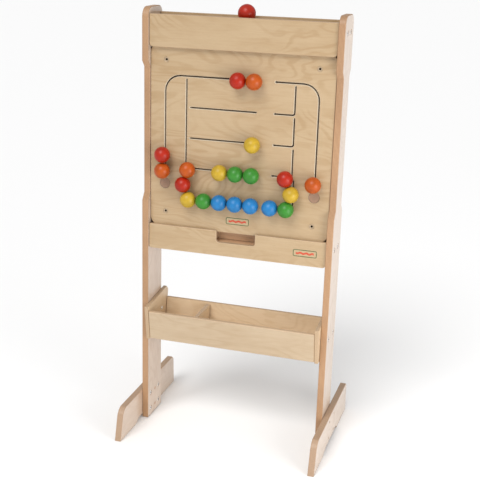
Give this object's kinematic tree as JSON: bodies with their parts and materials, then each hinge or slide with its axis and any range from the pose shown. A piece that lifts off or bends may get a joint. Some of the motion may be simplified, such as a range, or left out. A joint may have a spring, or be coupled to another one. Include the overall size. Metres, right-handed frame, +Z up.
{
  "type": "free-standing wooden bead-maze activity stand",
  "caption": "Free-standing wooden activity stand: uprights on plank feet, a storage tray, and a lift-out panel whose painted beads slide along cut tracks, locked by a knobbed pin.",
  "frame": {"origin": "on the floor under the middle of the stand, midway between the uprights and between the feet's front and rear ends", "axes": "+Z up; the front, where the beads are, faces -Y; +X is the right-hand side as seen from the front"},
  "size_m": [0.4906, 0.37, 1.0241],
  "materials": {
    "birch_face": "clear satin lacquer over birch plywood faces, warm pale tan",
    "birch_side": "clear satin lacquer over birch plywood, paler and pinker faces with brown layered edges",
    "plug_wood": "plain end-grain wood, matt",
    "steel": "bright zinc-plated steel",
    "red": "glossy red paint on turned wood",
    "orange": "glossy orange paint on turned wood",
    "yellow": "glossy yellow paint on turned wood",
    "green": "glossy green paint on turned wood",
    "blue": "glossy blue paint on turned wood"
  },
  "bodies": {
    "stand": {"left_upright": "birch_side", "right_upright": "birch_side", "left_foot": "birch_side", "right_foot": "birch_side", "left_foot_bolt_1": "steel", "left_foot_bolt_2": "steel", "left_foot_bolt_3": "steel", "left_foot_bolt_4": "steel", "left_tray_bolt_1": "steel", "left_tray_bolt_2": "steel", "right_foot_bolt_1": "steel", "right_foot_bolt_2": "steel", "right_foot_bolt_3": "steel", "right_foot_bolt_4": "steel", "right_tray_bolt_1": "steel", "right_tray_bolt_2": "steel", "top_rail_front": "birch_face", "top_rail_rear": "birch_face", "bottom_rail_front": "birch_face", "bottom_rail_rear": "birch_face", "top_cross_bar": "birch_side", "bottom_shelf": "birch_side", "tray_front": "birch_face", "tray_back": "birch_face", "tray_bottom": "birch_face", "tray_left_end": "birch_face", "tray_right_end": "birch_face", "tray_divider": "birch_face"},
    "panel": {"maze_board": "birch_face", "spacer_frame": "birch_side", "back_board": "birch_face", "track_plug_left": "plug_wood", "track_plug_right": "plug_wood", "panel_bolt_lower_left": "steel", "panel_bolt_upper_left": "steel", "panel_bolt_lower_right": "steel", "panel_bolt_upper_right": "steel"},
    "lock": {"lock_knob": "red", "lock_pin": "steel"},
    "bead_outer_left_orange": {"bead_outer_left_orange": "orange"},
    "bead_outer_left_red": {"bead_outer_left_red": "red"},
    "bead_outer_right_orange": {"bead_outer_right_orange": "orange"},
    "bead_row1_orange": {"bead_row1_orange": "orange"},
    "bead_row1_red": {"bead_row1_red": "red"},
    "bead_row3_yellow": {"bead_row3_yellow": "yellow"},
    "bead_row4_green_right": {"bead_row4_green_right": "green"},
    "bead_row4_green_left": {"bead_row4_green_left": "green"},
    "bead_row4_yellow": {"bead_row4_yellow": "yellow"},
    "bead_row4_orange": {"bead_row4_orange": "orange"},
    "bead_row5_blue_right": {"bead_row5_blue_right": "blue"},
    "bead_row5_blue_middle": {"bead_row5_blue_middle": "blue"},
    "bead_row5_blue_left": {"bead_row5_blue_left": "blue"},
    "bead_row5_green": {"bead_row5_green": "green"},
    "bead_row5_yellow": {"bead_row5_yellow": "yellow"},
    "bead_inner_left_red": {"bead_inner_left_red": "red"},
    "bead_right_blue": {"bead_right_blue": "blue"},
    "bead_right_green": {"bead_right_green": "green"},
    "bead_right_yellow": {"bead_right_yellow": "yellow"},
    "bead_right_red": {"bead_right_red": "red"}
  },
  "joints": [
    {"name": "panel_lift", "type": "slide", "parent": "stand", "child": "panel", "axis": [0, 0, 1], "range_m": [0, 0.0285]},
    {"name": "lock_lift", "type": "slide", "parent": "stand", "child": "lock", "axis": [0, 0, 1], "range_m": [0, 0.062]},
    {"name": "outer_left_orange_slide", "type": "slide", "parent": "panel", "child": "bead_outer_left_orange", "axis": [0, 0, 1], "range_m": [0, 0.07]},
    {"name": "outer_left_red_slide", "type": "slide", "parent": "bead_outer_left_orange", "child": "bead_outer_left_red", "axis": [0, 0, 1], "range_m": [0, 0.07]},
    {"name": "outer_right_orange_slide", "type": "slide", "parent": "panel", "child": "bead_outer_right_orange", "axis": [0, 0, 1], "range_m": [0, 0.18]},
    {"name": "row1_orange_slide", "type": "slide", "parent": "panel", "child": "bead_row1_orange", "axis": [-1, 0, 0], "range_m": [0, 0.07]},
    {"name": "row1_red_slide", "type": "slide", "parent": "bead_row1_orange", "child": "bead_row1_red", "axis": [-1, 0, 0], "range_m": [0, 0.07]},
    {"name": "row3_yellow_slide", "type": "slide", "parent": "panel", "child": "bead_row3_yellow", "axis": [-1, 0, 0], "range_m": [0, 0.152]},
    {"name": "row4_green_right_slide", "type": "slide", "parent": "panel", "child": "bead_row4_green_right", "axis": [-1, 0, 0], "range_m": [0, 0.01]},
    {"name": "row4_green_left_slide", "type": "slide", "parent": "bead_row4_green_right", "child": "bead_row4_green_left", "axis": [-1, 0, 0], "range_m": [0, 0.01]},
    {"name": "row4_yellow_slide", "type": "slide", "parent": "bead_row4_green_left", "child": "bead_row4_yellow", "axis": [-1, 0, 0], "range_m": [0, 0.01]},
    {"name": "row4_orange_slide", "type": "slide", "parent": "panel", "child": "bead_row4_orange", "axis": [1, 0, 0], "range_m": [0, 0.009]},
    {"name": "row5_blue_right_spin", "type": "hinge", "parent": "panel", "child": "bead_row5_blue_right", "pos_m": [0.0363, -0.0497, 0.5813], "axis": [0, -1, 0], "continuous": true},
    {"name": "row5_blue_middle_spin", "type": "hinge", "parent": "panel", "child": "bead_row5_blue_middle", "pos_m": [-0.0013, -0.0497, 0.5813], "axis": [0, -1, 0], "continuous": true},
    {"name": "row5_blue_left_spin", "type": "hinge", "parent": "panel", "child": "bead_row5_blue_left", "pos_m": [-0.0389, -0.0497, 0.5813], "axis": [0, -1, 0], "continuous": true},
    {"name": "row5_green_spin", "type": "hinge", "parent": "panel", "child": "bead_row5_green", "pos_m": [-0.0765, -0.0497, 0.5813], "axis": [0, -1, 0], "continuous": true},
    {"name": "row5_yellow_spin", "type": "hinge", "parent": "panel", "child": "bead_row5_yellow", "pos_m": [-0.1141, -0.0497, 0.5813], "axis": [0, -1, 0], "continuous": true},
    {"name": "inner_left_red_spin", "type": "hinge", "parent": "panel", "child": "bead_inner_left_red", "pos_m": [-0.1275, -0.0497, 0.61611], "axis": [0, -1, 0], "continuous": true},
    {"name": "right_blue_spin", "type": "hinge", "parent": "panel", "child": "bead_right_blue", "pos_m": [0.0814, -0.0497, 0.5813], "axis": [0, -1, 0], "continuous": true},
    {"name": "right_green_spin", "type": "hinge", "parent": "panel", "child": "bead_right_green", "pos_m": [0.119, -0.0497, 0.5813], "axis": [0, -1, 0], "continuous": true},
    {"name": "right_yellow_spin", "type": "hinge", "parent": "panel", "child": "bead_right_yellow", "pos_m": [0.129, -0.0497, 0.61723], "axis": [0, -1, 0], "continuous": true},
    {"name": "right_red_slide", "type": "slide", "parent": "panel", "child": "bead_right_red", "axis": [-1, 0, 0], "range_m": [0, 0.032]}
  ]
}
